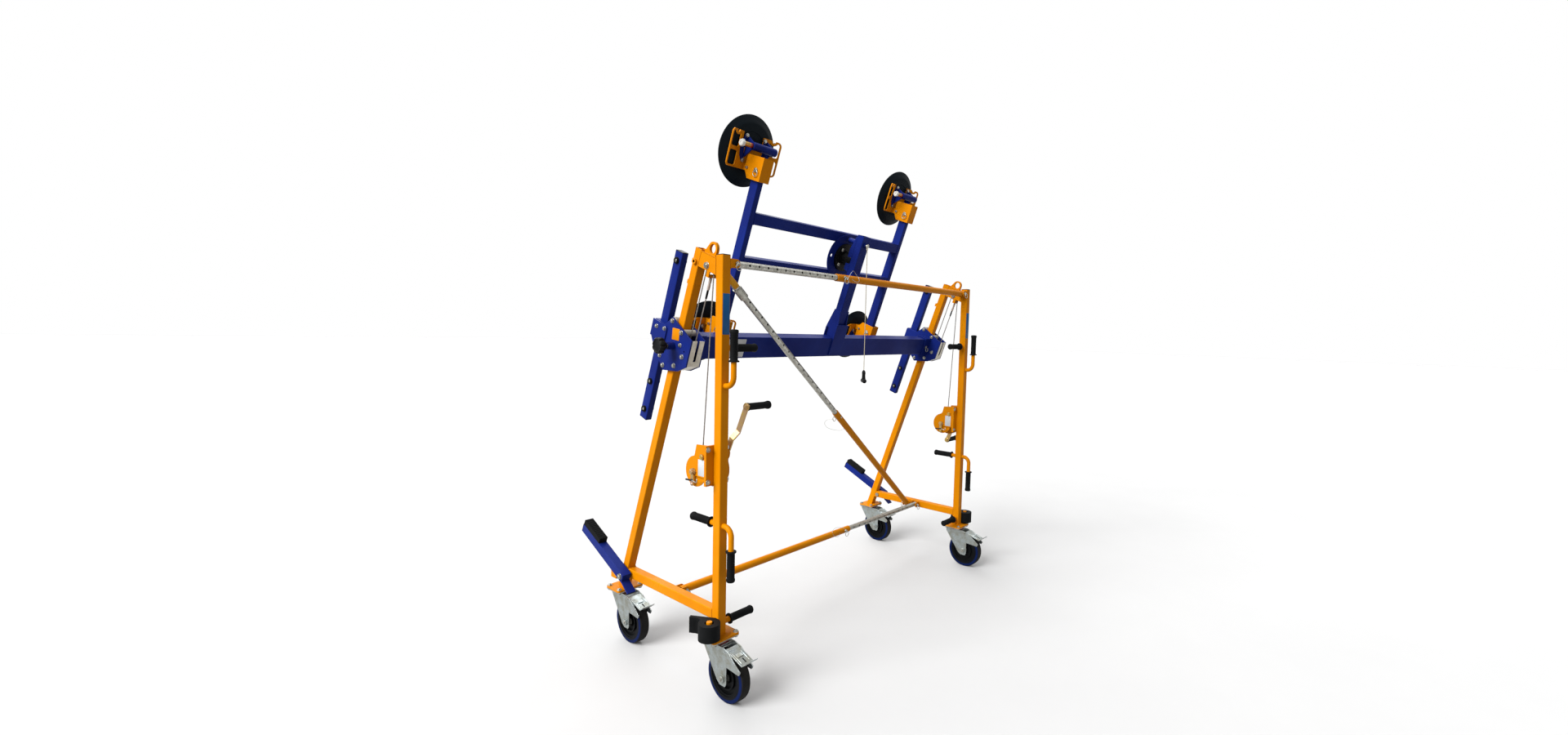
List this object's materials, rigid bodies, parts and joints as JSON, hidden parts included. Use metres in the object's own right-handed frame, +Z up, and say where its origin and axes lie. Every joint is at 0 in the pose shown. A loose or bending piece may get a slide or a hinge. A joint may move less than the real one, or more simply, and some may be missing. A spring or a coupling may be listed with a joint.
{
  "type": "glass lifting trolley",
  "caption": "Rolling A-frame glass trolley: winch-driven cross beam on leaning legs carries a turning frame of vacuum cups for lifting and fitting panes.",
  "frame": {"origin": "centre of the bounding box at floor level", "axes": "+X to the operator's left along the cross beam, -Y towards the glass, +Z up"},
  "size_m": [2.249, 1.128, 2.3329],
  "materials": {
    "black_plastic": "matte",
    "black_rubber": "matte",
    "blue_paint": "satin",
    "cord": "braided",
    "grey_plastic": "satin",
    "orange_paint": "satin",
    "rope": "stranded wire",
    "tyre": "matte",
    "yellow_zinc": "yellow zinc plate",
    "zinc": "satin zinc plate"
  },
  "bodies": {
    "frame": {"left_end_frame": "orange_paint", "right_end_frame": "orange_paint", "handle_grips": "black_rubber", "bumpers": "black_rubber", "brace_inner_tubes": "zinc", "brace_outer_tubes": "orange_paint", "frame_bolts": "zinc", "winch_frames": "orange_paint", "hoist_ropes": "rope", "caster_top_plates": "zinc"},
    "lift": {"left_carriage": "blue_paint", "right_carriage": "blue_paint", "lift_bolts": "zinc", "cross_beam": "blue_paint", "mast": "blue_paint", "turn_hub": "black_plastic"},
    "drums": {"winch_drums": "orange_paint", "drum_ropes": "rope"},
    "cranks": {"winch_cranks": "yellow_zinc"},
    "pulleys": {"head_pulleys": "zinc"},
    "sheaves": {"carriage_sheaves": "zinc"},
    "front_upper_rollers": {"front_upper_rollers": "grey_plastic"},
    "front_lower_rollers": {"front_lower_rollers": "grey_plastic"},
    "rear_upper_rollers": {"rear_upper_rollers": "grey_plastic"},
    "rear_lower_rollers": {"rear_lower_rollers": "grey_plastic"},
    "left_front_fork": {"left_front_fork": "zinc"},
    "left_front_wheel": {"left_front_wheel": "tyre"},
    "left_front_pedal": {"left_front_pedal": "zinc"},
    "left_rear_fork": {"left_rear_fork": "zinc"},
    "left_rear_wheel": {"left_rear_wheel": "tyre"},
    "left_rear_pedal": {"left_rear_pedal": "zinc"},
    "left_foot_arm": {"left_foot_arm": "blue_paint"},
    "left_knob": {"left_clamp_knob": "black_plastic"},
    "left_bar": {"left_support_bar": "blue_paint"},
    "right_front_fork": {"right_front_fork": "zinc"},
    "right_front_wheel": {"right_front_wheel": "tyre"},
    "right_front_pedal": {"right_front_pedal": "zinc"},
    "right_rear_fork": {"right_rear_fork": "zinc"},
    "right_rear_wheel": {"right_rear_wheel": "tyre"},
    "right_rear_pedal": {"right_rear_pedal": "zinc"},
    "right_foot_arm": {"right_foot_arm": "blue_paint"},
    "right_knob": {"right_clamp_knob": "black_plastic"},
    "right_bar": {"right_support_bar": "blue_paint"},
    "head": {"suction_frame": "blue_paint", "cup_brackets": "orange_paint"},
    "index": {"index_pin": "zinc"},
    "pull": {"pull_cord": "cord", "pull_handle": "black_plastic"},
    "upper_left_cup": {"upper_left_cup_pad": "black_rubber", "upper_left_cup_body": "orange_paint"},
    "upper_left_plunger": {"upper_left_plunger": "zinc"},
    "upper_right_cup": {"upper_right_cup_pad": "black_rubber", "upper_right_cup_body": "orange_paint"},
    "upper_right_plunger": {"upper_right_plunger": "zinc"},
    "lower_left_cup": {"lower_left_cup_pad": "black_rubber", "lower_left_cup_body": "orange_paint"},
    "lower_left_plunger": {"lower_left_plunger": "zinc"},
    "lower_right_cup": {"lower_right_cup_pad": "black_rubber", "lower_right_cup_body": "orange_paint"},
    "lower_right_plunger": {"lower_right_plunger": "zinc"}
  },
  "joints": [
    {"name": "lift", "type": "slide", "parent": "frame", "child": "lift", "axis": [0, 0.342, 0.9397], "range_m": [-0.45, 0.06], "deforming": ["hoist_ropes"]},
    {"name": "drum_turn", "type": "hinge", "parent": "frame", "child": "drums", "pos_m": [0.0565, 0.26099, 0.873], "axis": [1, 0, 0], "continuous": true},
    {"name": "crank_turn", "type": "hinge", "parent": "frame", "child": "cranks", "pos_m": [0.0565, 0.31099, 0.937], "axis": [1, 0, 0], "continuous": true},
    {"name": "pulley_turn", "type": "hinge", "parent": "frame", "child": "pulleys", "pos_m": [0.0565, 0.2983, 1.66964], "axis": [1, 0, 0], "continuous": true},
    {"name": "sheave_turn", "type": "hinge", "parent": "lift", "child": "sheaves", "pos_m": [0.0565, 0.16714, 1.31512], "axis": [1, 0, 0], "continuous": true},
    {"name": "front_upper_roller_turn", "type": "hinge", "parent": "lift", "child": "front_upper_rollers", "pos_m": [0.0565, 0.10524, 1.4579], "axis": [1, 0, 0], "continuous": true},
    {"name": "front_lower_roller_turn", "type": "hinge", "parent": "lift", "child": "front_lower_rollers", "pos_m": [0.0565, 0.03923, 1.27654], "axis": [1, 0, 0], "continuous": true},
    {"name": "rear_upper_roller_turn", "type": "hinge", "parent": "lift", "child": "rear_upper_rollers", "pos_m": [0.0565, 0.16294, 1.4103], "axis": [1, 0, 0], "continuous": true},
    {"name": "rear_lower_roller_turn", "type": "hinge", "parent": "lift", "child": "rear_lower_rollers", "pos_m": [0.0565, 0.11472, 1.2778], "axis": [1, 0, 0], "continuous": true},
    {"name": "left_front_swivel", "type": "hinge", "parent": "frame", "child": "left_front_fork", "pos_m": [1.0115, -0.29684, 0.222], "axis": [0, 0, 1], "continuous": true},
    {"name": "left_front_wheel_turn", "type": "hinge", "parent": "left_front_fork", "child": "left_front_wheel", "pos_m": [1.0115, -0.23184, 0.1], "axis": [1, 0, 0], "continuous": true},
    {"name": "left_front_pedal_tilt", "type": "hinge", "parent": "left_front_fork", "child": "left_front_pedal", "pos_m": [1.0115, -0.21884, 0.211], "axis": [1, 0, 0], "range_deg": [0, 12]},
    {"name": "left_rear_swivel", "type": "hinge", "parent": "frame", "child": "left_rear_fork", "pos_m": [1.0115, 0.37099, 0.222], "axis": [0, 0, 1], "continuous": true},
    {"name": "left_rear_wheel_turn", "type": "hinge", "parent": "left_rear_fork", "child": "left_rear_wheel", "pos_m": [1.0115, 0.43599, 0.1], "axis": [1, 0, 0], "continuous": true},
    {"name": "left_rear_pedal_tilt", "type": "hinge", "parent": "left_rear_fork", "child": "left_rear_pedal", "pos_m": [1.0115, 0.44899, 0.211], "axis": [1, 0, 0], "range_deg": [0, 12]},
    {"name": "left_foot_arm_fold", "type": "hinge", "parent": "frame", "child": "left_foot_arm", "pos_m": [1.0585, -0.22901, 0.321], "axis": [-1, 0, 0], "range_deg": [0, 42]},
    {"name": "left_knob_turn", "type": "hinge", "parent": "lift", "child": "left_knob", "pos_m": [1.0465, 0.10855, 1.3588], "axis": [1, 0, 0], "range_deg": [-180, 180]},
    {"name": "left_bar_slide", "type": "slide", "parent": "lift", "child": "left_bar", "axis": [0, 0.342, 0.9397], "range_m": [-0.2, 0.18]},
    {"name": "right_front_swivel", "type": "hinge", "parent": "frame", "child": "right_front_fork", "pos_m": [-0.8985, -0.29684, 0.222], "axis": [0, 0, 1], "continuous": true},
    {"name": "right_front_wheel_turn", "type": "hinge", "parent": "right_front_fork", "child": "right_front_wheel", "pos_m": [-0.8985, -0.23184, 0.1], "axis": [1, 0, 0], "continuous": true},
    {"name": "right_front_pedal_tilt", "type": "hinge", "parent": "right_front_fork", "child": "right_front_pedal", "pos_m": [-0.8985, -0.21884, 0.211], "axis": [1, 0, 0], "range_deg": [0, 12]},
    {"name": "right_rear_swivel", "type": "hinge", "parent": "frame", "child": "right_rear_fork", "pos_m": [-0.8985, 0.37099, 0.222], "axis": [0, 0, 1], "continuous": true},
    {"name": "right_rear_wheel_turn", "type": "hinge", "parent": "right_rear_fork", "child": "right_rear_wheel", "pos_m": [-0.8985, 0.43599, 0.1], "axis": [1, 0, 0], "continuous": true},
    {"name": "right_rear_pedal_tilt", "type": "hinge", "parent": "right_rear_fork", "child": "right_rear_pedal", "pos_m": [-0.8985, 0.44899, 0.211], "axis": [1, 0, 0], "range_deg": [0, 12]},
    {"name": "right_foot_arm_fold", "type": "hinge", "parent": "frame", "child": "right_foot_arm", "pos_m": [-0.9455, -0.22901, 0.321], "axis": [-1, 0, 0], "range_deg": [0, 42]},
    {"name": "right_knob_turn", "type": "hinge", "parent": "lift", "child": "right_knob", "pos_m": [-0.9335, 0.10855, 1.3588], "axis": [-1, 0, 0], "range_deg": [-180, 180]},
    {"name": "right_bar_slide", "type": "slide", "parent": "lift", "child": "right_bar", "axis": [0, 0.342, 0.9397], "range_m": [-0.2, 0.18]},
    {"name": "head_turn", "type": "hinge", "parent": "lift", "child": "head", "pos_m": [0.0565, 0.17378, 1.81287], "axis": [0, -0.9397, 0.342], "continuous": true},
    {"name": "index_pull", "type": "slide", "parent": "lift", "child": "index", "axis": [0, 0.9397, -0.342], "range_m": [0, 0.012], "stiffness_N_per_m": 900, "springref_m": -0.01},
    {"name": "cord_pull", "type": "slide", "parent": "lift", "child": "pull", "axis": [0, 0, -1], "range_m": [0, 0.012]},
    {"name": "upper_left_cup_tilt", "type": "hinge", "parent": "head", "child": "upper_left_cup", "pos_m": [0.7155, 0.19591, 2.11342], "axis": [1, 0, 0], "range_deg": [-6, 6]},
    {"name": "upper_left_plunger_push", "type": "slide", "parent": "upper_left_cup", "child": "upper_left_plunger", "axis": [-1, 0, 0], "range_m": [0, 0.04], "stiffness_N_per_m": 500, "springref_m": -0.012},
    {"name": "upper_right_cup_tilt", "type": "hinge", "parent": "head", "child": "upper_right_cup", "pos_m": [-0.4065, 0.19591, 2.11342], "axis": [1, 0, 0], "range_deg": [-6, 6]},
    {"name": "upper_right_plunger_push", "type": "slide", "parent": "upper_right_cup", "child": "upper_right_plunger", "axis": [-1, 0, 0], "range_m": [0, 0.04], "stiffness_N_per_m": 500, "springref_m": -0.012},
    {"name": "lower_left_cup_tilt", "type": "hinge", "parent": "head", "child": "lower_left_cup", "pos_m": [0.7155, -0.04419, 1.45376], "axis": [1, 0, 0], "range_deg": [-6, 6]},
    {"name": "lower_left_plunger_push", "type": "slide", "parent": "lower_left_cup", "child": "lower_left_plunger", "axis": [-1, 0, 0], "range_m": [0, 0.04], "stiffness_N_per_m": 500, "springref_m": -0.012},
    {"name": "lower_right_cup_tilt", "type": "hinge", "parent": "head", "child": "lower_right_cup", "pos_m": [-0.4065, -0.04419, 1.45376], "axis": [1, 0, 0], "range_deg": [-6, 6]},
    {"name": "lower_right_plunger_push", "type": "slide", "parent": "lower_right_cup", "child": "lower_right_plunger", "axis": [-1, 0, 0], "range_m": [0, 0.04], "stiffness_N_per_m": 500, "springref_m": -0.012}
  ],
  "couplings": [
    {"joint": "drum_turn", "follows": "lift", "rad_per_m": -66.667},
    {"joint": "crank_turn", "follows": "lift", "rad_per_m": 318.27},
    {"joint": "pulley_turn", "follows": "lift", "rad_per_m": -100},
    {"joint": "sheave_turn", "follows": "lift", "rad_per_m": -55.556},
    {"joint": "front_upper_roller_turn", "follows": "lift", "rad_per_m": -59.88},
    {"joint": "front_lower_roller_turn", "follows": "lift", "rad_per_m": -59.88},
    {"joint": "rear_upper_roller_turn", "follows": "lift", "rad_per_m": 75.758},
    {"joint": "rear_lower_roller_turn", "follows": "lift", "rad_per_m": 75.758},
    {"joint": "cord_pull", "follows": "index_pull", "ratio": 1}
  ]
}
